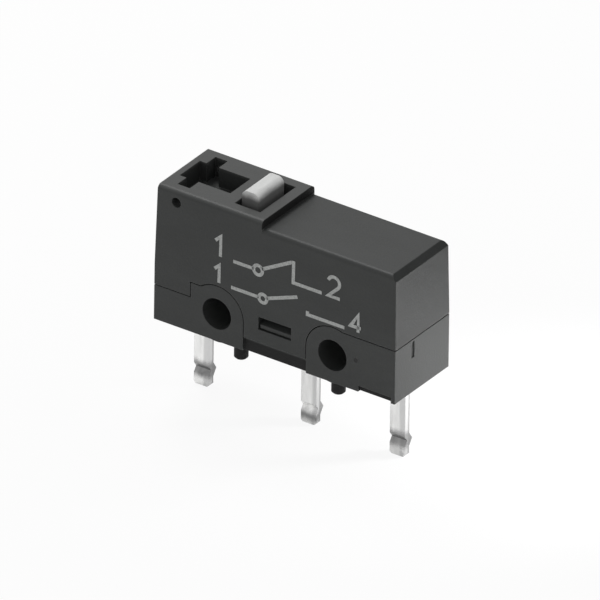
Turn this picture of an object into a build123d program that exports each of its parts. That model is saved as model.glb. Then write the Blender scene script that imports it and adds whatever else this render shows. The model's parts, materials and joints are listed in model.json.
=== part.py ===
from build123d import *
import math
import os

# A subminiature snap-action switch, in millimetres.
# X runs along the switch, Y through its thickness, Z up, and the origin lies midway
# between the two mounting holes, on their common height and at half the thickness.

# Housing
body_length = 19.8
body_thickness = 6.4
seat = -2.1                 # underside of the base
low_top = 7.75              # top of the long, lower part
raised_top = 8.35           # top of the raised part with the plunger
raised_length = 8.7         # raised part, from the left end
wall = 0.7
top_wall = 0.8
draft = 1.0                 # mould draft of the cover, in degrees
edge_round = 0.35           # long top edges
end_chamfer = 0.4           # right end of the top
seam = 0.07                 # joint line between cover and base
seam_depth = 0.3            # of that line at the end walls

# Mounting holes and the ears round them
hole_pitch = 9.5
hole_diameter = 2.35
ear_radius = 2.15
shoulder_height = 1.7       # square outer shoulder of the left ear
left_seam_height = 0.56
right_seam_height = 2.0

# Skirt of the cover between the ears, with its latch
skirt_bottom = -1.05
window_width = 2.7
window_bottom = -0.05
window_top = 0.95
lug_play = 0.08
lug_height = 0.55
lug_setback = 0.12

# Base
core_play = 0.05            # between the core and the inside of the cover
core_middle_top = 0.9
plinth_setback = 0.2        # of the foot between the ears
undercut_height = 0.45
undercut_depth = 0.25
undercut_end = 0.3          # short of the right end
rib_play = 0.3              # from the rib to the lower fixed contact
boss_diameter = 1.0
boss_length = 1.9
boss_pitch = 8.0
boss_offset = -1.3          # towards the front
boss_chamfer = 0.12
gate_offset = -1.1          # mark on the right end, towards the front
gate_width = 0.35
gate_bottom = 0.6
gate_top = 1.85
gate_depth = 0.08

# Pocket and pin hole for an accessory lever
pocket_depth = 1.5
pocket_floor = 0.3
pocket_margin = 0.3         # of the floor, past the right end of the pocket
cross_slot_length = 1.0
cross_slot_width = 4.5
long_slot_inset = 0.6       # from the left end to the start of the long slot
long_slot_reach = 4.75      # and to its far end
long_slot_width = 2.4
pin_hole_inset = 1.65       # from the left end, also the middle of the cross slot
pin_hole_drop = 0.9         # below the raised top
pin_hole_diameter = 0.75

# Plunger
plunger_inset = 6.6         # from the left end
plunger_length = 1.4
plunger_width = 3.0
plunger_tip = 9.2
plunger_round = 0.5
plunger_play = 0.15         # to the left end of its slot
plunger_end_play = 0.6      # to the front and back of its slot
slot_length = 2.1
flange_thickness = 0.6
flange_grip = 0.2           # all round, under the edge of the slot
flange_play = 0.05
foot_length = 1.0
foot_width = 1.6
foot_round = 0.3
foot_play = 0.04

# Terminals
terminal_width = 1.25
terminal_sheet = 0.5
terminal_tip = -8.0
terminal_chamfer = 0.15
common_inset = 1.95         # from the left end
open_offset = 0.85          # from the middle of the switch
closed_inset = 1.75         # from the right end
kink_top = -6.35
kink_bottom = -7.25
kink_offset = 0.3
web_offset = -0.85
jog_height = 0.65
jog_play = 0.15             # from the base up to the jog
slot_play = 0.02
well_length = 2.2
well_width = 1.6
well_depth = 0.6
seal_setback = 0.1

# Mechanism
blade_z = 4.65              # mid-plane of the contact blade at rest
blade_sheet = 0.25
blade_bar = 0.7             # cross bar at the left end of the blade
blade_nose = 0.9            # right end, past the contact
window_to_contact = 3.0
blade_width = 3.8
blade_window_width = 2.3
blade_end_width = 1.9
lever_sheet = 0.3
lever_width = 1.7
lever_overhang = 0.3        # of the lever's bar, left of the post
lever_pivot_z = 5.9
lever_pad_z = 5.5
lever_end_z = 5.0
lever_reach = 2.2           # past the plunger
post_width = 0.675
post_top = 6.35
tab_length = 1.45
tab_height = 0.9
notch_height = 0.5
notch_depth = 0.12
lever_bar_play = 0.08
post_play = 0.12
contact_inset = 2.25        # from the normally closed terminal to the contacts
bar_nest = 0.04             # of the blade's bar in its notch
contact_gap = 0.5
rest_play = 0.02
tilt_play = 0.04
plate_width = 2.2
plate_reach = 1.0           # of a contact plate, past the middle of its contact

# Contact rivets
rivet_head = 1.5
rivet_head_height = 0.35
fixed_head = 1.6
fixed_head_height = 0.4
rivet_shank = 0.8
rivet_play = 0.02
clinch_diameter = 1.1
clinch_height = 0.15
rivet_chamfer = 0.1

# Snap spring
coil_radius = 0.55
coil_wire = 0.18
coil_turns = 6
ring_radius = 0.35
hook_hole = 0.4
hook_edge = 0.3             # strip between a hook hole and the edge that the ring goes round
coil_lead = 0.25            # from a ring to the first turn

# Places worked out from the sizes above
half_length = body_length / 2
half_thickness = body_thickness / 2
hole_x = hole_pitch / 2
ear_outer = hole_x + ear_radius
ear_inner = hole_x - ear_radius
draft_start = ear_radius + seam
ceiling = low_top - top_wall
step_x = raised_length - half_length
inner_length = body_length - 2 * wall
inner_thickness = body_thickness - 2 * wall
core_length = inner_length - 2 * core_play
core_thickness = inner_thickness - 2 * core_play
left_end = -half_length
plunger_x = left_end + plunger_inset
slot_x = plunger_x - plunger_length / 2 - plunger_play + slot_length / 2
slot_width = plunger_width + 2 * plunger_end_play
common_x = left_end + common_inset
open_x = open_offset
closed_x = half_length - closed_inset
contact_x = closed_x - contact_inset
rib_end = contact_x - clinch_diameter / 2 - rib_play
blade_top = blade_z + blade_sheet / 2
closed_plate_z = blade_top + rivet_head_height + rest_play + fixed_head_height + terminal_sheet / 2
blade_bottom = blade_z - blade_sheet / 2
open_contact_top = blade_bottom - rivet_head_height - contact_gap - tilt_play
open_plate_z = open_contact_top - fixed_head_height - terminal_sheet / 2
post_right = common_x + terminal_width / 2
post_left = post_right - post_width
tab_end = post_left + tab_length
blade_left = tab_end - bar_nest
window_start = blade_left + blade_bar
window_end = contact_x - window_to_contact
blade_right = contact_x + blade_nose
lever_end_x = plunger_x + lever_reach


# A rectangle between two corners of the sketch
def block(x_from, x_to, y_from, y_to):
    with Locations(((x_from + x_to) / 2, (y_from + y_to) / 2)):
        Rectangle(x_to - x_from, y_to - y_from)


# Front outline of what the base shows outside the cover, its upper edges raised by grow
def base_outline(grow):
    sides = (
        (-1, left_seam_height, shoulder_height),
        (1, right_seam_height, right_seam_height),
    )
    for side, seam_height, shoulder_top in sides:
        with Locations((side * hole_x, 0)):
            Circle(ear_radius + grow)
        with Locations((side * hole_x, seat / 2)):
            Rectangle(2 * (ear_radius + grow), -seat)
        shoulder = side * (hole_x + (ear_radius + grow) / 2)
        with Locations((shoulder, (seat + shoulder_top + grow) / 2)):
            Rectangle(ear_radius + grow, shoulder_top + grow - seat)
        ledge_length = half_length - ear_outer + grow
        with Locations((side * (ear_outer + ledge_length / 2), (seat + seam_height + grow) / 2)):
            Rectangle(ledge_length, seam_height + grow - seat)


# Cover
with BuildPart() as case:
    with BuildSketch(Plane.XY.offset(skirt_bottom)):
        Rectangle(body_length, body_thickness)
    extrude(amount=draft_start - skirt_bottom)
    with BuildSketch(Plane.XY.offset(draft_start)):
        Rectangle(body_length, body_thickness)
    extrude(amount=raised_top - draft_start, taper=draft)
    with BuildSketch(Plane.XZ):
        block(step_x, half_length, low_top, raised_top)
    extrude(amount=body_thickness, both=True, mode=Mode.SUBTRACT)
    top_edges = case.edges().filter_by_position(Axis.Z, low_top, raised_top)
    end_edge = top_edges.filter_by(Axis.Y).sort_by(Axis.X)[-1]
    chamfer(end_edge, length=end_chamfer)
    top_edges = case.edges().filter_by_position(Axis.Z, low_top, raised_top)
    fillet(top_edges.filter_by(Axis.X), radius=edge_round)
    with BuildSketch(Plane.XY.offset(skirt_bottom)):
        Rectangle(inner_length, inner_thickness)
    extrude(amount=draft_start - skirt_bottom, mode=Mode.SUBTRACT)
    with BuildSketch(Plane.XY.offset(draft_start)):
        Rectangle(inner_length, inner_thickness)
    extrude(amount=ceiling - draft_start, taper=draft, mode=Mode.SUBTRACT)
    # the roof is deeper under the pocket
    with BuildSketch(Plane.XZ):
        roof_end = left_end + long_slot_reach + pocket_margin
        block(left_end + wall / 2, roof_end, raised_top - pocket_depth - pocket_floor, ceiling)
    extrude(amount=inner_thickness / 2, both=True)
    with BuildSketch(Plane.XZ):
        base_outline(seam)
        with Locations((0, (window_bottom + window_top) / 2)):
            Rectangle(window_width, window_top - window_bottom)
    extrude(amount=body_thickness, both=True, mode=Mode.SUBTRACT)
    with BuildSketch(Plane.XY.offset(raised_top)):
        with Locations((left_end + pin_hole_inset, 0)):
            Rectangle(cross_slot_length, cross_slot_width)
        long_slot_end = left_end + long_slot_reach
        block(left_end + long_slot_inset, long_slot_end, -long_slot_width / 2, long_slot_width / 2)
    extrude(amount=-pocket_depth, mode=Mode.SUBTRACT)
    with BuildSketch(Plane.XY.offset(raised_top)):
        with Locations((slot_x, 0)):
            Rectangle(slot_length, slot_width)
    extrude(amount=ceiling - raised_top, mode=Mode.SUBTRACT)
    with BuildSketch(Plane.XZ):
        with Locations((left_end + pin_hole_inset, raised_top - pin_hole_drop)):
            Circle(pin_hole_diameter / 2)
    extrude(amount=body_thickness, both=True, mode=Mode.SUBTRACT)


# Base: ears and ledges flush with the cover, and a core that fills the foot of its inside
with BuildPart() as base:
    with BuildSketch(Plane.XZ):
        base_outline(0)
    extrude(amount=half_thickness, both=True)
    with BuildSketch(Plane.XZ):
        block(-core_length / 2, core_length / 2, seat, core_middle_top)
        for side in (-1, 1):
            with Locations((side * (ear_inner + core_length / 2) / 2, (seat + ear_radius) / 2)):
                Rectangle(core_length / 2 - ear_inner, ear_radius - seat)
        # rib that carries the lower contact plate
        block(ear_inner, rib_end, ear_radius, open_plate_z - terminal_sheet / 2)
    extrude(amount=core_thickness / 2, both=True)
    with BuildSketch(Plane.XZ):
        block(-ear_inner, ear_inner, seat, skirt_bottom - seam)
    extrude(amount=half_thickness - plinth_setback, both=True)
    # tongues under the end walls of the cover close the joint line behind its groove
    with BuildSketch(Plane.XZ):
        block(left_end + seam_depth, -core_length / 2, left_seam_height, left_seam_height + seam)
        block(core_length / 2, half_length - seam_depth, right_seam_height, right_seam_height + seam)
    extrude(amount=half_thickness - seam_depth, both=True)
    # latch lugs with a ramp, one on each side
    with BuildSketch(Plane.YZ):
        for side in (-1, 1):
            with BuildLine():
                Polyline(
                    (side * (core_thickness / 2 - wall), window_bottom + lug_play),
                    (side * (half_thickness - lug_setback), window_bottom + lug_play),
                    (side * (half_thickness - lug_setback), window_bottom + lug_play + lug_height / 2),
                    (side * core_thickness / 2, window_bottom + lug_play + lug_height),
                    (side * (core_thickness / 2 - wall), window_bottom + lug_play + lug_height),
                    close=True,
                )
            make_face()
    extrude(amount=window_width / 2 - lug_play, both=True)
    with BuildSketch(Plane.XZ):
        with GridLocations(hole_pitch, 0, 2, 1):
            Circle(hole_diameter / 2)
    extrude(amount=half_thickness, both=True, mode=Mode.SUBTRACT)
    # undercut along the foot of the right ledge, on both long sides
    with BuildSketch(Plane.YZ.offset(ear_outer)):
        for side in (-1, 1):
            with Locations((side * (half_thickness - undercut_depth / 2), seat + undercut_height / 2)):
                Rectangle(undercut_depth, undercut_height)
    extrude(amount=half_length - ear_outer - undercut_end, mode=Mode.SUBTRACT)
    with BuildSketch(Plane.YZ.offset(half_length)):
        with Locations((gate_offset, (gate_bottom + gate_top) / 2)):
            Rectangle(gate_width, gate_top - gate_bottom)
    extrude(amount=-gate_depth, mode=Mode.SUBTRACT)
    with BuildSketch(Plane.XY.offset(seat)):
        with Locations((-boss_pitch / 2, boss_offset), (boss_pitch / 2, boss_offset)):
            Circle(boss_diameter / 2)
    extrude(amount=-boss_length)
    chamfer(base.faces().sort_by(Axis.Z)[0:2].edges(), length=boss_chamfer)
    # a slot for each terminal, with a well for the sealing resin round its foot
    with BuildSketch(Plane.XY.offset(seat)):
        with Locations((common_x, 0), (open_x, 0), (closed_x, 0)):
            Rectangle(terminal_width + 2 * slot_play, terminal_sheet + 2 * slot_play)
    extrude(amount=ear_radius - seat, mode=Mode.SUBTRACT)
    with BuildSketch(Plane.XY.offset(seat)):
        with Locations((common_x, 0), (open_x, 0), (closed_x, 0)):
            Rectangle(well_length, well_width)
    extrude(amount=well_depth, mode=Mode.SUBTRACT)


# Plunger: a rounded ridge across the switch, a stop flange and a foot on the drive lever
foot_bottom = lever_pad_z + lever_sheet / 2 + foot_play
flange_top = ceiling - flange_play
with BuildPart() as plunger:
    with BuildSketch(Plane.XZ):
        with Locations((plunger_x, (flange_top + plunger_tip) / 2)):
            Rectangle(plunger_length, plunger_tip - flange_top)
    extrude(amount=plunger_width / 2, both=True)
    fillet(plunger.edges().filter_by(Axis.Y).group_by(Axis.Z)[-1], radius=plunger_round)
    with BuildSketch(Plane.XY.offset(flange_top)):
        with Locations((slot_x, 0)):
            Rectangle(slot_length + 2 * flange_grip, slot_width + 2 * flange_grip)
    extrude(amount=-flange_thickness)
    with BuildSketch(Plane.XZ):
        with Locations((plunger_x, (foot_bottom + flange_top - flange_thickness) / 2)):
            Rectangle(foot_length, flange_top - flange_thickness - foot_bottom)
    extrude(amount=foot_width / 2, both=True)
    fillet(plunger.edges().filter_by(Axis.Y).group_by(Axis.Z)[0], radius=foot_round)


# Sheet section of a terminal, seen along X: its kinked tip, and above the slot the points given
def terminal_section(upper_points):
    with BuildSketch(Plane.YZ) as section:
        with BuildLine():
            Polyline(
                (0, terminal_tip),
                (0, kink_bottom),
                (kink_offset, (kink_top + kink_bottom) / 2),
                (0, kink_top),
                *upper_points,
            )
        trace(line_width=terminal_sheet)
    return section.sketch


# Common terminal: a straight blade with a notched post for the lever and a tab for the blade
with BuildPart() as terminal_common:
    extrude(terminal_section([(0, post_top)]), amount=body_length, both=True)
    with BuildSketch(Plane.XZ):
        block(common_x - terminal_width / 2, post_right, terminal_tip, ear_radius)
        block(post_left, post_right, terminal_tip, post_top)
        block(post_left, tab_end, blade_z - tab_height / 2, blade_z + tab_height / 2)
    extrude(amount=body_thickness, both=True, mode=Mode.INTERSECT)
    with BuildSketch(Plane.XZ):
        with Locations((post_left, lever_pivot_z), (tab_end, blade_z)):
            Rectangle(2 * notch_depth, notch_height)
    extrude(amount=body_thickness, both=True, mode=Mode.SUBTRACT)
    chamfer(terminal_common.edges().filter_by(Axis.Y).group_by(Axis.Z)[0], length=terminal_chamfer)


# A terminal whose top is bent over into a horizontal plate that carries a fixed contact
def plate_terminal(x, plate_left, plate_end, plate_z, jog_start):
    with BuildPart() as terminal:
        section = terminal_section([
            (0, jog_start),
            (web_offset, jog_start + jog_height),
            (web_offset, plate_z),
            (plate_width / 2, plate_z),
        ])
        extrude(section, amount=body_length, both=True)
        with BuildSketch(Plane.XZ):
            block(x - terminal_width / 2, x + terminal_width / 2, terminal_tip, plate_z + terminal_sheet)
            block(plate_left, plate_end, plate_z - terminal_sheet / 2, plate_z + terminal_sheet)
        extrude(amount=body_thickness, both=True, mode=Mode.INTERSECT)
        with BuildSketch(Plane.XY.offset(plate_z)):
            with Locations((contact_x, 0)):
                Circle(rivet_shank / 2 + rivet_play)
        extrude(amount=terminal_sheet, both=True, mode=Mode.SUBTRACT)
        chamfer(terminal.edges().filter_by(Axis.Y).group_by(Axis.Z)[0], length=terminal_chamfer)
    return terminal


terminal_normally_open = plate_terminal(
    open_x,
    open_x - terminal_width / 2,
    contact_x + plate_reach,
    open_plate_z,
    core_middle_top + jog_play,
)
terminal_normally_closed = plate_terminal(
    closed_x,
    contact_x - plate_reach,
    closed_x + terminal_width / 2,
    closed_plate_z,
    ear_radius + wall,
)


# A rivet turned about the upright line through the contacts, from its outline of (radius, height)
def rivet(outline):
    with BuildPart() as turned:
        with BuildSketch(Plane.XZ):
            with BuildLine():
                Polyline(
                    (contact_x, outline[0][1]),
                    *[(contact_x + radius, height) for radius, height in outline],
                    (contact_x, outline[-1][1]),
                    close=True,
                )
            make_face()
        revolve(axis=Axis((contact_x, 0, 0), (0, 0, 1)))
    return turned


# Fixed contact: a head on one side of its plate, up or down, and a clinched end on the other
def fixed_contact(plate_z, facing):
    face = terminal_sheet / 2
    crown = face + fixed_head_height
    return rivet([
        (fixed_head / 2 - rivet_chamfer, plate_z + facing * crown),
        (fixed_head / 2, plate_z + facing * (crown - rivet_chamfer)),
        (fixed_head / 2, plate_z + facing * face),
        (rivet_shank / 2, plate_z + facing * face),
        (rivet_shank / 2, plate_z - facing * face),
        (clinch_diameter / 2, plate_z - facing * face),
        (clinch_diameter / 2, plate_z - facing * (face + clinch_height)),
    ])


fixed_contact_normally_open = fixed_contact(open_plate_z, 1)
fixed_contact_normally_closed = fixed_contact(closed_plate_z, -1)

# Moving contact: one rivet with a head on both sides of the blade
head_face = blade_sheet / 2
head_crown = head_face + rivet_head_height
moving_contact = rivet([
    (rivet_head / 2 - rivet_chamfer, blade_z + head_crown),
    (rivet_head / 2, blade_z + head_crown - rivet_chamfer),
    (rivet_head / 2, blade_z + head_face),
    (rivet_shank / 2, blade_z + head_face),
    (rivet_shank / 2, blade_z - head_face),
    (rivet_head / 2, blade_z - head_face),
    (rivet_head / 2, blade_z - head_crown + rivet_chamfer),
    (rivet_head / 2 - rivet_chamfer, blade_z - head_crown),
])

# Contact blade: a window for lever and spring, a bar in the notch of the common terminal
blade_hook_x = window_end + hook_edge + hook_hole / 2
with BuildPart() as contact_arm:
    with BuildSketch(Plane.XY.offset(blade_z)):
        with BuildLine():
            Polyline(
                (blade_left, -blade_width / 2),
                (blade_hook_x, -blade_width / 2),
                (blade_right, -blade_end_width / 2),
                (blade_right, blade_end_width / 2),
                (blade_hook_x, blade_width / 2),
                (blade_left, blade_width / 2),
                close=True,
            )
        make_face()
        with Locations(((window_start + window_end) / 2, 0)):
            Rectangle(window_end - window_start, blade_window_width, mode=Mode.SUBTRACT)
        with Locations((blade_hook_x, 0)):
            Circle(hook_hole / 2, mode=Mode.SUBTRACT)
        with Locations((contact_x, 0)):
            Circle(rivet_shank / 2 + rivet_play, mode=Mode.SUBTRACT)
    extrude(amount=blade_sheet / 2, both=True)

# Drive lever: a stamped strip with a flat pad under the plunger and a low end for the spring
lever_hook_x = lever_end_x - hook_edge - hook_hole / 2
with BuildPart() as drive_lever:
    with BuildSketch(Plane.XZ):
        with BuildLine():
            Polyline(
                (post_left - lever_overhang, lever_pivot_z),
                (plunger_x - foot_length, lever_pad_z),
                (plunger_x + foot_length / 2, lever_pad_z),
                (lever_hook_x - hook_hole, lever_end_z),
                (lever_end_x, lever_end_z),
            )
        trace(line_width=lever_sheet)
    extrude(amount=lever_width / 2, both=True)
    with BuildSketch(Plane.XY.offset(lever_pivot_z)):
        block(
            post_left + notch_depth - lever_bar_play,
            post_right + post_play,
            -terminal_sheet / 2 - post_play,
            terminal_sheet / 2 + post_play,
        )
        with Locations((lever_hook_x, 0)):
            Circle(hook_hole / 2)
    extrude(amount=2 * (lever_pivot_z - lever_end_z), both=True, mode=Mode.SUBTRACT)


# Three quarters of a ring in the XZ plane, open on one side, that ends on its crown
def spring_ring(centre, side):
    crown = Vector(0, 0, ring_radius)
    reach = Vector(side * ring_radius, 0, 0)
    ThreePointArc(centre - reach, centre - crown, centre + reach)
    ThreePointArc(centre + reach, centre + (crown + reach) * math.sqrt(0.5), centre + crown)


# Snap spring: a tension coil whose wire runs at both ends into a ring, through lever and blade
lever_ring = Vector(lever_hook_x + ring_radius, 0, lever_end_z)
blade_ring = Vector(blade_hook_x - ring_radius, 0, blade_z)
coil_from = lever_ring + Vector(0, 0, ring_radius)
coil_to = blade_ring + Vector(0, 0, ring_radius)
coil_axis = (coil_to - coil_from).normalized()
coil_length = (coil_to - coil_from).length - 2 * (ring_radius + coil_lead)
with BuildPart() as snap_spring:
    with BuildLine() as wire_line:
        coil = Helix(
            pitch=coil_length / coil_turns,
            height=coil_length,
            radius=coil_radius,
            center=coil_from + coil_axis * (ring_radius + coil_lead),
            direction=coil_axis,
        )
        Spline(coil_from, coil @ 0, tangents=(coil_axis, coil % 0))
        Spline(coil @ 1, coil_to, tangents=(coil % 1, coil_axis))
        spring_ring(lever_ring, -1)
        spring_ring(blade_ring, 1)
    spring_path = wire_line.wire()
    # the round wire is drawn six-sided, which keeps this fine piece light
    with BuildSketch(Plane(spring_path @ 0, z_dir=spring_path % 0)):
        RegularPolygon(radius=coil_wire / 2, side_count=6)
    sweep(path=spring_path, is_frenet=True)


# Sealing resin in the well round one terminal
def terminal_seal(x):
    with BuildPart() as seal:
        with BuildSketch(Plane.XY.offset(seat + seal_setback)):
            with Locations((x, 0)):
                Rectangle(well_length, well_width)
                Rectangle(terminal_width, terminal_sheet, mode=Mode.SUBTRACT)
        extrude(amount=well_depth - seal_setback)
    return seal


pieces = {
    "case": case,
    "base": base,
    "plunger": plunger,
    "drive_lever": drive_lever,
    "contact_arm": contact_arm,
    "snap_spring": snap_spring,
    "moving_contact": moving_contact,
    "terminal_common": terminal_common,
    "terminal_normally_open": terminal_normally_open,
    "terminal_normally_closed": terminal_normally_closed,
    "fixed_contact_normally_open": fixed_contact_normally_open,
    "fixed_contact_normally_closed": fixed_contact_normally_closed,
    "seal_common": terminal_seal(common_x),
    "seal_normally_open": terminal_seal(open_x),
    "seal_normally_closed": terminal_seal(closed_x),
}

os.makedirs("parts", exist_ok=True)
for name, piece in pieces.items():
    piece.part.label = name
    export_step(piece.part, f"parts/{name}.step")
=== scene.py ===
import json
import math

import bmesh
import bpy
from mathutils import Matrix, Vector


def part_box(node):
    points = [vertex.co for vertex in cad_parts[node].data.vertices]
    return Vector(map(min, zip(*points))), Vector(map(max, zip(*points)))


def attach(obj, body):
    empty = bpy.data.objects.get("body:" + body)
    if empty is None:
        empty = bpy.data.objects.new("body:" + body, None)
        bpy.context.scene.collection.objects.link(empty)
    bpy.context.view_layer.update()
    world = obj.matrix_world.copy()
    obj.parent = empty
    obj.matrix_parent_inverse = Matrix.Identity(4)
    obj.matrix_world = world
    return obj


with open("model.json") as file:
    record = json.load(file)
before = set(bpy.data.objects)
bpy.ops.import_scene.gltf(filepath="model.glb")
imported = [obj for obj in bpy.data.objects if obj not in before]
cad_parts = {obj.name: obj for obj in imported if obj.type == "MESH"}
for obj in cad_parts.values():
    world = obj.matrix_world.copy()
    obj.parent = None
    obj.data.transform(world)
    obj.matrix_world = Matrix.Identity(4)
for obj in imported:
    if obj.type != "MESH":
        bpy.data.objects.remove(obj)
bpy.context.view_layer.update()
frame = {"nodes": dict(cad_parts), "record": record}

mm = 0.001               # the frame is in metres, the sizes below are in millimetres
parts = frame["record"]["subparts"]
print("stage: frame loaded,", len(parts), "CAD pieces")


# Shader wiring

class Signal:
    # one number socket, so that sums are written as sums
    def __init__(self, tree, socket):
        self.tree = tree
        self.socket = socket

    def combine(self, operation, first, second):
        node = self.tree.nodes.new("ShaderNodeMath")
        node.operation = operation
        plug(self.tree, node.inputs[0], first)
        plug(self.tree, node.inputs[1], second)
        return Signal(self.tree, node.outputs[0])

    def __add__(self, other):
        return self.combine("ADD", self, other)

    def __radd__(self, other):
        return self.combine("ADD", other, self)

    def __sub__(self, other):
        return self.combine("SUBTRACT", self, other)

    def __rsub__(self, other):
        return self.combine("SUBTRACT", other, self)

    def __mul__(self, other):
        return self.combine("MULTIPLY", self, other)

    def __rmul__(self, other):
        return self.combine("MULTIPLY", other, self)


def plug(tree, socket, item):
    if isinstance(item, Signal):
        tree.links.new(item.socket, socket)
    else:
        socket.default_value = item


def setStops(ramp, stops):
    while len(ramp.elements) < len(stops):
        ramp.elements.new(0.5)
    for element, (place, shade) in zip(ramp.elements, stops):
        element.position = place
        element.color = (shade, shade, shade, 1)


class Finish:
    # a node tree and one method that adds any node to it
    def __init__(self, tree):
        self.tree = tree

    def node(self, kind, settings=None, inputs=None, output=0):
        made = self.tree.nodes.new(kind)
        for key, value in (settings or {}).items():
            if key == "stops":
                setStops(made.color_ramp, value)
            else:
                setattr(made, key, value)
        for key, item in (inputs or {}).items():
            plug(self.tree, made.inputs[key], item)
        return Signal(self.tree, made.outputs[output])

    def coat(self, sockets):
        # what the surface's own shader takes
        shader = self.tree.nodes["Principled BSDF"]
        for key, item in sockets.items():
            plug(self.tree, shader.inputs[key], item)

    def places(self, stretch=(1, 1, 1)):
        # the frame's own coordinates, in millimetres
        spot = self.node("ShaderNodeTexCoord", output="Object")
        scale = tuple(part / mm for part in stretch)
        return self.node("ShaderNodeVectorMath", {"operation": "MULTIPLY"}, {0: spot, 1: scale})

    def along(self, axis):
        # one of the coordinates by itself
        return self.node("ShaderNodeSeparateXYZ", None, {"Vector": self.places()}, output=axis)

    def noise(self, size, detail=3.0, rough=0.5, stretch=(1, 1, 1)):
        # size is the width of one patch in millimetres
        spot = self.places(stretch)
        inputs = {"Vector": spot, "Scale": 1 / size, "Detail": detail, "Roughness": rough}
        return self.node("ShaderNodeTexNoise", {"noise_dimensions": "3D"}, inputs)

    def ramp(self, signal, *stops):
        return self.node("ShaderNodeValToRGB", {"stops": stops}, {"Fac": signal})

    def rise(self, signal, start, end):
        # 0 at start, 1 at end, with soft shoulders
        return self.node(
            "ShaderNodeMapRange",
            {"interpolation_type": "SMOOTHSTEP"},
            {"Value": signal, "From Min": start, "From Max": end},
        )

    def within(self, bounds):
        # 1 past every bound: an axis, where the bound starts and where it is full
        share = 1
        for axis, start, full in bounds:
            share = share * self.rise(self.along(axis), start, full)
        return share

    def blend(self, factor, first, second):
        sides = [side if isinstance(side, Signal) else (*side, 1) for side in (first, second)]
        return self.node(
            "ShaderNodeMix",
            {"data_type": "RGBA"},
            {"Factor": factor, 6: sides[0], 7: sides[1]},    # the two colour sockets
            output=2,
        )

    def compare(self, operation, first, second):
        # one number from two vectors
        sides = {0: first, 1: second}
        return self.node("ShaderNodeVectorMath", {"operation": operation}, sides, output="Value")

    def rounded(self, reach):
        # the surface direction with every sharp edge softened over reach
        return self.node("ShaderNodeBevel", {"samples": 6}, {"Radius": reach * mm})

    def edges(self, soft):
        # near 0 on the faces, 0.3 on a square edge
        flat = self.node("ShaderNodeNewGeometry", output="Normal")
        return 1 - self.compare("DOT_PRODUCT", soft, flat)

    def mark(self, centre, radius, softness):
        # 1 inside a small round mark, 0 outside
        away = self.compare("DISTANCE", self.places(), centre)
        return 1 - self.rise(away, radius - softness, radius + softness)

    def bump(self, height, depth, normal=None):
        # depth in millimetres
        inputs = {"Height": height, "Distance": depth * mm, "Strength": 1.0}
        if normal:
            inputs["Normal"] = normal
        return self.node("ShaderNodeBump", None, inputs)


def newFinish(name):
    material = bpy.data.materials.new(name)
    material.use_nodes = True
    return material, Finish(material.node_tree)


# Moulded plastic of the cover, the base and the plunger

# The cloud is the flow of the melt, the grain is the spark-eroded skin of the mould
plasticLook = {
    # the colour of worn edges, also used for the painted light on the cover's raised end
    "worn": (0.075, 0.077, 0.075),
    "cloud": {"size": 2.4, "detail": 5.0, "rough": 0.62, "stretch": (0.35, 1, 1)},
    "grain": {"size": 0.15, "detail": 2.0, "rough": 0.6},
    "grainDepth": 0.012,
    "edge": 0.09,                            # how far the edges are softened
    "gloss": 0.36,
    "tone": ((0.34, 0.0), (0.66, 1.0)),      # from dark to light
    "toneCloud": 0.75,                       # share of the cloud in it, the grain has the rest
    "wear": ((0.06, 0.0), (0.3, 1.0)),       # from plain edges to rubbed ones
    "wearPolish": 0.08,
    "patchy": 0.5,                           # added to the cloud that breaks up the wear
}
coverLook = {
    **plasticLook,
    "dark": (0.026, 0.028, 0.027),
    "light": (0.037, 0.039, 0.038),
    "roughLow": 0.4,
    "roughHigh": 0.54,
    "paintedLitTop": {"low": 8.05, "high": 8.33, "share": 0.5},        # painted light: the raised end is a little lighter
    "paintedShade": {                             # painted shade: the wall of the step, nearly black
        "bounds": [("X", -1.26, -1.22), ("X", -1.1, -1.15), ("Z", 7.72, 7.78)],
        "share": 0.9,
        "shade": (0.004, 0.004, 0.004),
        "dull": 0.3,
    },
}
baseLook = {
    **plasticLook,
    "dark": (0.025, 0.027, 0.026),
    "light": (0.036, 0.038, 0.037),
    "roughLow": 0.36,
    "roughHigh": 0.48,
    "paintedShade": {                             # painted shade: what is set back under the long sides, made dark
        "bounds": [
            ("Y", -3.16, -3.08), ("Y", 3.16, 3.08),
            ("Z", -1.2, -1.32),
            ("X", -9.75, -9.6), ("X", 9.75, 9.6),
        ],
        "share": 0.9,
        "shade": (0.004, 0.004, 0.004),
        "dull": 0.3,
    },
    "mark": {                                # small dot beside the right hole
        "centre": (6.7, -3.2, 0.3),
        "radius": 0.17,
        "softness": 0.05,
        "shade": (0.012, 0.012, 0.012),
        "deep": 6,                           # times the grain's depth
    },
}
plungerLook = {
    **plasticLook,
    "dark": (0.6, 0.605, 0.6),
    "light": (0.72, 0.725, 0.715),
    "worn": (0.8, 0.8, 0.79),
    "cloud": {"size": 0.8, "detail": 5.0, "rough": 0.62, "stretch": (1, 0.4, 1)},
    "grain": {"size": 0.07, "detail": 2.0, "rough": 0.6},
    "grainDepth": 0.003,
    "edge": 0.1,
    "gloss": 0.5,
    "roughLow": 0.3,
    "roughHigh": 0.4,
    "paintedSlotShade": {                               # painted shade: darker towards the slot
        "top": 9.12,
        "foot": 8.55,
        "wander": 0.4,
        "share": 0.88,
        "shade": (0.08, 0.08, 0.08),
    },
}


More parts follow.
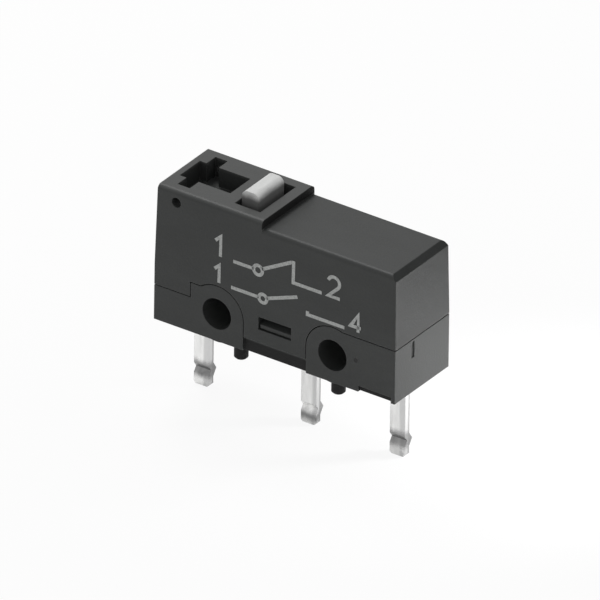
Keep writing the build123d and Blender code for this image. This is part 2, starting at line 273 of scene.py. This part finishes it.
def mouldedPlastic(name, look):
    material, finish = newFinish(name)
    cloud = finish.noise(**look["cloud"])
    grain = finish.noise(**look["grain"])
    soft = finish.rounded(look["edge"])
    patchy = cloud + look["patchy"]
    worn = finish.ramp(finish.edges(soft) * patchy, *look["wear"])
    tone = finish.ramp(cloud * look["toneCloud"] + grain * (1 - look["toneCloud"]), *look["tone"])
    colour = finish.blend(tone, look["dark"], look["light"])
    colour = finish.blend(worn, colour, look["worn"])
    spread = look["roughHigh"] - look["roughLow"]
    rough = cloud * spread + look["roughLow"] - worn * look["wearPolish"]
    height = grain
    # painted light: the raised end is made lighter, towards the worn colour
    if "paintedLitTop" in look:
        paintedLitTop = look["paintedLitTop"]
        paintedLitTopMask = finish.rise(finish.along("Z"), paintedLitTop["low"], paintedLitTop["high"]) * patchy
        colour = finish.blend(paintedLitTopMask * paintedLitTop["share"], colour, look["worn"])
    # painted shade on the plunger, darker towards the slot
    if "paintedSlotShade" in look:
        paintedSlotShade = look["paintedSlotShade"]
        level = finish.along("Z") + (cloud - 0.5) * paintedSlotShade["wander"]
        paintedSlotShadeMask = finish.rise(level, paintedSlotShade["top"], paintedSlotShade["foot"])
        colour = finish.blend(paintedSlotShadeMask * paintedSlotShade["share"], colour, paintedSlotShade["shade"])
    # painted shade: darker and duller on the step's wall and where the base is set back
    if "paintedShade" in look:
        paintedShade = look["paintedShade"]
        paintedShadeMask = finish.within(paintedShade["bounds"])
        colour = finish.blend(paintedShadeMask * paintedShade["share"], colour, paintedShade["shade"])
        rough = rough + paintedShadeMask * paintedShade["dull"]
    if "mark" in look:
        mark = look["mark"]
        pit = finish.mark(mark["centre"], mark["radius"], mark["softness"])
        colour = finish.blend(pit, colour, mark["shade"])
        height = grain - pit * mark["deep"]
    finish.coat({
        "Base Color": colour,
        "Roughness": rough,
        "Specular IOR Level": look["gloss"],
        "Normal": finish.bump(height, look["grainDepth"], soft),
    })
    return material


# Tinned terminals, with runs along the blade

tinLook = {
    "dark": (0.82, 0.82, 0.81),
    "bright": (0.98, 0.98, 0.97),
    "tone": ((0.3, 0.0), (0.62, 1.0)),
    "runs": {"size": 0.5, "detail": 4.0, "rough": 0.55, "stretch": (1, 1, 0.22)},
    "pores": {"size": 0.05, "detail": 2.0},
    "paintedSideShade": (0.6, 0.6, 0.6),            # painted shade: the side that is a shade darker
    "paintedSideFrom": 0.06,                        # across the blade, from its middle
    "paintedSideTo": 0.28,
    "paintedSideWander": 0.3,
    "paintedSideShare": 0.8,
    "backShade": (0.36, 0.36, 0.36),         # painted shade: the back made darker, as it faces the brightest floor
    "backFrom": 0.0,
    "backTo": 0.2,
    "bandShade": (0.26, 0.26, 0.26),         # painted shade: dark band near the tip
    "bandTop": -6.15,
    "bandFoot": -7.35,
    "bandEdge": 0.3,
    "bandWander": 0.5,
    "bandPatch": 0.6,
    "rough": 0.08,
    "roughRuns": 0.16,
    "roughPores": 0.06,
    "roughBand": 0.24,
    "ripple": 0.022,
    "rippleRuns": 0.8,                       # share of the runs in it, the pores have the rest
    "edge": 0.06,
}
tinLooks = {                                 # middle: where the blade stands along the switch
    "terminal_common": {**tinLook, "middle": -7.95},
    "terminal_normally_open": {
        **tinLook,
        "middle": 0.85,
        "paintedSideFrom": 0.18,
        "paintedSideTo": 0.42,
        "bandTop": -7.1,
        "bandFoot": -7.7,
    },
    "terminal_normally_closed": {**tinLook, "middle": 8.15},
}


def tinnedMetal(name, look):
    material, finish = newFinish(name)
    runs = finish.noise(**look["runs"])
    pores = finish.noise(**look["pores"])
    drift = runs - 0.5
    # painted shade: a dark band near the tip, also rougher there
    edge = look["bandEdge"]
    level = finish.along("Z") + drift * look["bandWander"]
    below = finish.rise(level, look["bandTop"] + edge, look["bandTop"] - edge)
    above = finish.rise(level, look["bandFoot"] - edge, look["bandFoot"] + edge)
    band = below * above * (runs * look["bandPatch"] + look["bandPatch"])
    # painted shade on one side of each blade
    across = finish.along("X") - look["middle"] + drift * look["paintedSideWander"]
    paintedSide = finish.rise(across, look["paintedSideFrom"], look["paintedSideTo"])
    # painted shade on the back of each blade
    back = finish.rise(finish.along("Y"), look["backFrom"], look["backTo"])
    colour = finish.blend(finish.ramp(runs, *look["tone"]), look["dark"], look["bright"])
    colour = finish.blend(paintedSide * look["paintedSideShare"], colour, look["paintedSideShade"])
    colour = finish.blend(back, colour, look["backShade"])
    colour = finish.blend(band, colour, look["bandShade"])
    rough = runs * look["roughRuns"] + pores * look["roughPores"] + band * look["roughBand"]
    height = runs * look["rippleRuns"] + pores * (1 - look["rippleRuns"])
    finish.coat({
        "Base Color": colour,
        "Metallic": 1.0,
        "Roughness": rough + look["rough"],
        "Normal": finish.bump(height, look["ripple"], finish.rounded(look["edge"])),
    })
    return material


# Stamped metals inside, resin and ink: one noise drives tone, roughness and relief

stampedLook = {                              # with the strokes of the rolled sheet
    "noise": {"size": 0.08, "detail": 3.0, "stretch": (0.08, 1, 1)},
    "tone": ((0.3, 0.0), (0.7, 1.0)),
    "metallic": 1.0,
    "spread": 0.15,
    "depth": 0.004,
}
leverLook = {**stampedLook, "dark": (0.5, 0.5, 0.5), "light": (0.68, 0.68, 0.67), "rough": 0.22}
copperLook = {**stampedLook, "dark": (0.62, 0.33, 0.16), "light": (0.8, 0.5, 0.27), "rough": 0.24}
wireLook = {**stampedLook, "dark": (0.42, 0.42, 0.43), "light": (0.62, 0.62, 0.62), "rough": 0.2}
silverLook = {**stampedLook, "dark": (0.74, 0.73, 0.7), "light": (0.88, 0.87, 0.84), "rough": 0.18}
resinLook = {
    "noise": {"size": 0.7, "detail": 4.0},
    "tone": ((0.0, 0.0), (1.0, 1.0)),
    "dark": (0.01, 0.01, 0.01),
    "light": (0.026, 0.026, 0.026),
    "metallic": 0.0,
    "rough": 0.1,
    "spread": 0.12,
    "depth": 0.05,
}
inkLook = {                                  # as even as the pad left it
    "noise": {"size": 0.14, "detail": 4.0, "rough": 0.7},
    "tone": ((0.32, 0.0), (0.56, 1.0)),
    "dark": (0.252, 0.258, 0.252),
    "light": (0.42, 0.43, 0.42),
    "metallic": 0.0,
    "rough": 0.45,
    "spread": 0.2,
    "depth": 0.004,
}


def variedFinish(name, look):
    material, finish = newFinish(name)
    noise = finish.noise(**look["noise"])
    finish.coat({
        "Base Color": finish.blend(finish.ramp(noise, *look["tone"]), look["dark"], look["light"]),
        "Metallic": look["metallic"],
        "Roughness": noise * look["spread"] + look["rough"],
        "Normal": finish.bump(noise, look["depth"]),
    })
    return material


finishes = {
    "housing_plastic": mouldedPlastic("coverPlastic", coverLook),
    "base_plastic": mouldedPlastic("basePlastic", baseLook),
    "plunger_plastic": mouldedPlastic("plungerPlastic", plungerLook),
    "lever_steel": variedFinish("leverSteel", leverLook),
    "blade_copper": variedFinish("springCopper", copperLook),
    "spring_steel": variedFinish("springWire", wireLook),
    "contact_silver": variedFinish("contactSilver", silverLook),
    "seal_resin": variedFinish("pouredResin", resinLook),
}
for part in parts:
    node = part["node"]
    if node in tinLooks:
        finish = tinnedMetal("tin_" + node, tinLooks[node])
    else:
        finish = finishes[part["material_slot"]]
    slots = frame["nodes"][node].data.materials
    slots.clear()
    slots.append(finish)
print("stage: finishes on the", len(parts), "CAD pieces")


# Making of pieces

def addPiece(name, shape, material, body):
    bmesh.ops.recalc_face_normals(shape, faces=shape.faces)
    mesh = bpy.data.meshes.new(name)
    shape.to_mesh(mesh)
    shape.free()
    mesh.materials.append(material)
    piece = bpy.data.objects.new(name, mesh)
    bpy.context.collection.objects.link(piece)
    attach(piece, body)


def bridge(shape, first, second, closed=True):
    # quads between two rows of points
    count = len(first)
    for k in range(count if closed else count - 1):
        after = (k + 1) % count
        shape.faces.new((first[k], first[after], second[after], second[k]))


# Printing on the front face: the two contacts, each between the numbers of its terminals

front = {
    "face": -3.2,             # front face below the draft
    "draftStart": 2.22,
    "draft": 1.0,             # degrees
    "film": 0.01,             # ink above and below the face
}
legend = {
    "stroke": 0.26,
    "figureStroke": 0.25,
    "figureWidth": 0.62,      # share of the height
    "gap": 0.5,               # between a figure and its line
    "pivot": 0.28,            # share of the line up to the pivot
    "contact": 0.66,          # and up to the contact
    "ring": 0.2,              # radius of the pivot's ring, share of the height
    "ringPoints": 24,
    "clear": 3,               # strokes between an open blade and its contact
    "mitre": 0.45,            # keeps sharp corners short
}
closedRow = {"numbers": "12", "closed": True, "foot": 4.4, "height": 1.8, "left": -5.1, "right": 5.4}
openRow = {"numbers": "14", "closed": False, "foot": 2.35, "height": 1.6, "left": -5.1, "right": 7.2}
legendInk = variedFinish("padInk", inkLook)


def arc(middle, radius, start, end, steps):
    # points round middle, from one angle in degrees to another
    turns = [math.radians(start + (end - start) * k / steps) for k in range(steps + 1)]
    return [Vector(middle) + radius * Vector((math.cos(turn), math.sin(turn))) for turn in turns]


# Each figure is one or more lines, drawn 1 high
figures = {
    "1": [[(0.08, 0.74), (0.36, 1), (0.36, 0)]],
    "2": [[*arc((0.31, 0.7), 0.3, 165, -38, 14), (0.02, 0), (0.64, 0)]],
    "4": [[(0.62, 0.27), (0, 0.27), (0.46, 1), (0.46, 0)]],
}


def frontPlace(x, z, proud):
    # a point that stands proud of the drafted front face
    lean = math.tan(math.radians(front["draft"])) * max(0, z - front["draftStart"])
    return Vector((x, front["face"] + lean - proud, z)) * mm


def addRibbon(shape, points, width, closed=False):
    # a flat line of ink through the points, with mitred corners
    points = [Vector(point) for point in points]
    count = len(points)
    left, right = [], []
    for k, point in enumerate(points):
        before = points[k - 1] if closed or k else None
        after = points[(k + 1) % count] if closed or k < count - 1 else None
        ways = [(b - a).normalized() for a, b in ((before, point), (point, after)) if a and b]
        way = sum(ways, Vector((0, 0))).normalized()
        side = Vector((-way.y, way.x)) * width / 2 / max(legend["mitre"], way.dot(ways[0]))
        left.append(point + side)
        right.append(point - side)
    rows = []
    for line, proud in ((left, 1), (right, 1), (right, -1), (left, -1)):
        rows.append([shape.verts.new(frontPlace(*spot, proud * front["film"])) for spot in line])
    for first, second in zip(rows, rows[1:] + rows[:1]):
        bridge(shape, first, second, closed)
    if not closed:
        shape.faces.new([row[0] for row in rows])
        shape.faces.new([row[-1] for row in reversed(rows)])


def addFigure(shape, figure, x, z, height):
    stroke = legend["figureStroke"]
    inked = height - stroke
    for line in figures[figure]:
        addRibbon(shape, [(x + a * inked, z + stroke / 2 + b * inked) for a, b in line], stroke)


def printContact(name, row):
    # a contact between two numbers: pivot, blade, and the contact that it meets or stays clear of
    shape = bmesh.new()
    width = legend["stroke"]
    figure = row["height"] * legend["figureWidth"]
    line = row["foot"] + width / 2
    top = row["foot"] + row["height"] - width / 2
    start = row["left"] + figure + legend["gap"]
    end = row["right"] - figure - legend["gap"]
    pivot = Vector((start + legend["pivot"] * (end - start), line))
    contact = Vector((start + legend["contact"] * (end - start), top))
    ring = legend["ring"] * row["height"]
    blade = (contact - pivot).normalized()
    tip = contact if row["closed"] else contact - blade * legend["clear"] * width
    lift = top + width / 2 if row["closed"] else line + width
    corner = contact.x + width / 2
    steps = legend["ringPoints"] - 1
    circle = arc(pivot, ring, 0, 360 * steps / legend["ringPoints"], steps)
    addRibbon(shape, [(start, line), (pivot.x - ring, line)], width)
    addRibbon(shape, circle, width, closed=True)
    addRibbon(shape, [pivot + blade * ring, tip], width)
    addRibbon(shape, [(corner, lift), (corner, line), (end, line)], width)
    for number, x in zip(row["numbers"], (row["left"], row["right"] - figure)):
        addFigure(shape, number, x, row["foot"], row["height"])
    addPiece(name, shape, legendInk, "housing")


printContact("print_closed_contact", closedRow)
printContact("print_open_contact", openRow)
print("stage: legend printed")


# Resin that has crept up the blades

creep = {
    "blade": (0.625, 0.25),   # half the blade's width and half its sheet
    "skin": 0.012,            # of the resin where it ends, on the blade
    "reach": 0.42,            # round the blade, on the resin
    "climb": 0.3,
    "steps": 6,
    "around": 32,
}


def addCreep(terminal):
    low, high = (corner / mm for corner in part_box("seal_" + terminal))
    middle = (low.x + high.x) / 2
    shape = bmesh.new()
    rings = []
    for step in range(creep["steps"] + 1):
        share = step / creep["steps"]
        grow = creep["skin"] + creep["reach"] * (1 - share) ** 2
        height = low.z - creep["climb"] * share ** 2
        ring = []
        for k in range(creep["around"]):
            turn = 2 * math.pi * (k + 0.5) / creep["around"]
            way = Vector((math.cos(turn), math.sin(turn)))
            corner = Vector([math.copysign(half, part) for half, part in zip(creep["blade"], way)])
            spot = corner + way * grow
            ring.append(shape.verts.new(Vector((middle + spot.x, spot.y, height)) * mm))
        rings.append(ring)
    for first, second in zip(rings, rings[1:]):
        bridge(shape, first, second)
    shape.faces.new(rings[0])
    shape.faces.new(reversed(rings[-1]))
    addPiece("resin_creep_" + terminal, shape, finishes["seal_resin"], "housing")


for terminal in ("common", "normally_open", "normally_closed"):
    addCreep(terminal)
print("stage: resin round the blades")


# Floor, lights and camera

studio = {
    "floorHeight": -8.02,             # just under the terminal tips
    "reach": 600,
    "floor": (0.86, 0.86, 0.86),
    "floorLight": (0.88, 0.88, 0.88),
    "speck": 30.0,
    "floorRough": 0.9,
    "floorSeen": 0.9,                 # share of plain white that the camera sees in the floor
    "floorMirrored": 0.4,             # and that reflections see
    "world": 0.6,                     # for diffuse light, white for the camera
    "mirrorWorld": 0.72,
    "flagWay": (0.5, 0.72, 0.48),     # a dark card at the back right, seen only in reflections
    "flagEdge": (0.62, 0.9),
    "flagShade": 0.85,
}
white = (1, 1, 1, 1)


def seenRays(finish):
    camera = finish.node("ShaderNodeLightPath", output="Is Camera Ray")
    glossy = finish.node("ShaderNodeLightPath", output="Is Glossy Ray")
    through = finish.node("ShaderNodeLightPath", output="Is Transmission Ray")
    return camera, glossy + through


def makeFloor():
    mesh = bpy.data.meshes.new("floor")
    reach = studio["reach"]
    corners = [(-reach, -reach), (reach, -reach), (reach, reach), (-reach, reach)]
    spots = [Vector((*corner, studio["floorHeight"])) * mm for corner in corners]
    mesh.from_pydata(spots, [], [(0, 1, 2, 3)])
    floor = bpy.data.objects.new("floor", mesh)
    bpy.context.collection.objects.link(floor)
    material, finish = newFinish("paleFloor")
    speck = finish.noise(studio["speck"])
    finish.coat({
        "Base Color": finish.blend(speck, studio["floor"], studio["floorLight"]),
        "Roughness": studio["floorRough"],
        "Specular IOR Level": 0.0,
    })
    camera, mirrored = seenRays(finish)
    glow = finish.node("ShaderNodeEmission", None, {"Color": white, "Strength": 1.0})
    surface = Signal(finish.tree, finish.tree.nodes["Principled BSDF"].outputs[0])
    shown = camera * studio["floorSeen"] + mirrored * studio["floorMirrored"]
    mixed = finish.node("ShaderNodeMixShader", None, {0: shown, 1: surface, 2: glow})
    plug(finish.tree, finish.tree.nodes["Material Output"].inputs["Surface"], mixed)
    mesh.materials.append(material)


def makeWorld():
    world = bpy.data.worlds.new("studio")
    bpy.context.scene.world = world
    world.use_nodes = True
    finish = Finish(world.node_tree)
    camera, mirrored = seenRays(finish)
    level = studio["world"]
    way = finish.node("ShaderNodeTexCoord", output="Generated")
    towards = finish.compare("DOT_PRODUCT", way, studio["flagWay"])
    flag = finish.rise(towards, *studio["flagEdge"]) * studio["flagShade"]
    shown = (1 - flag) * studio["mirrorWorld"]
    strength = camera * (1 - level) + mirrored * (shown - level) + level
    backdrop = world.node_tree.nodes["Background"]
    plug(world.node_tree, backdrop.inputs["Color"], white)
    plug(world.node_tree, backdrop.inputs["Strength"], strength)


lamps = {
    "keyLamp": {
        "place": (-90, 60, 190),
        "target": (0, 0, 5),
        "size": 90,
        "power": 0.18,
        "spread": 180,
    },
    "footLamp": {                     # lights the floor that the right end mirrors
        "place": (37, 28, 12),
        "target": (20, 12, -8),
        "size": 10,
        "power": 0.0045,
        "spread": 50,
    },
}


def softLamp(name, look):
    lamp = bpy.data.lights.new(name, "AREA")
    lamp.shape = "DISK"
    lamp.size = look["size"] * mm
    lamp.energy = look["power"]
    lamp.spread = math.radians(look["spread"])
    holder = bpy.data.objects.new(name, lamp)
    holder.location = Vector(look["place"]) * mm
    beam = Vector(look["target"]) - Vector(look["place"])
    holder.rotation_euler = beam.to_track_quat("-Z", "Y").to_euler()
    bpy.context.collection.objects.link(holder)


lens = {
    "azimuth": 34.37,
    "elevation": 30.05,
    "roll": 0.8,
    "frame": 600,             # pixels
    "pixelsPerMm": 14.8,
    "anchor": (0, 0, 2.9),
    "anchorAt": (302.06, 278.34),
    "away": 300,
    "nearest": 1,
}


def makeCamera():
    camera = bpy.data.cameras.new("camera")
    camera.type = "ORTHO"
    camera.ortho_scale = lens["frame"] / lens["pixelsPerMm"] * mm
    camera.clip_start = lens["nearest"] * mm
    holder = bpy.data.objects.new("camera", camera)
    bpy.context.collection.objects.link(holder)
    around = math.radians(lens["azimuth"])
    above = math.radians(lens["elevation"])
    level = math.cos(above)
    back = Vector((math.sin(around) * level, -math.cos(around) * level, math.sin(above)))
    roll = Matrix.Rotation(math.radians(lens["roll"]), 3, "Z")
    turn = back.to_track_quat("Z", "Y").to_matrix() @ roll
    right = turn @ Vector((1, 0, 0))
    up = turn @ Vector((0, 1, 0))
    half = lens["frame"] / 2
    shift = Vector((lens["anchorAt"][0] - half, half - lens["anchorAt"][1])) / lens["pixelsPerMm"]
    middle = Vector(lens["anchor"]) - right * shift.x - up * shift.y
    holder.matrix_world = Matrix.Translation((middle + back * lens["away"]) * mm) @ turn.to_4x4()
    bpy.context.scene.camera = holder


makeFloor()
makeWorld()
for lampName, look in lamps.items():
    softLamp(lampName, look)
makeCamera()
bpy.context.scene.view_settings.view_transform = "Standard"
print("stage: studio ready")
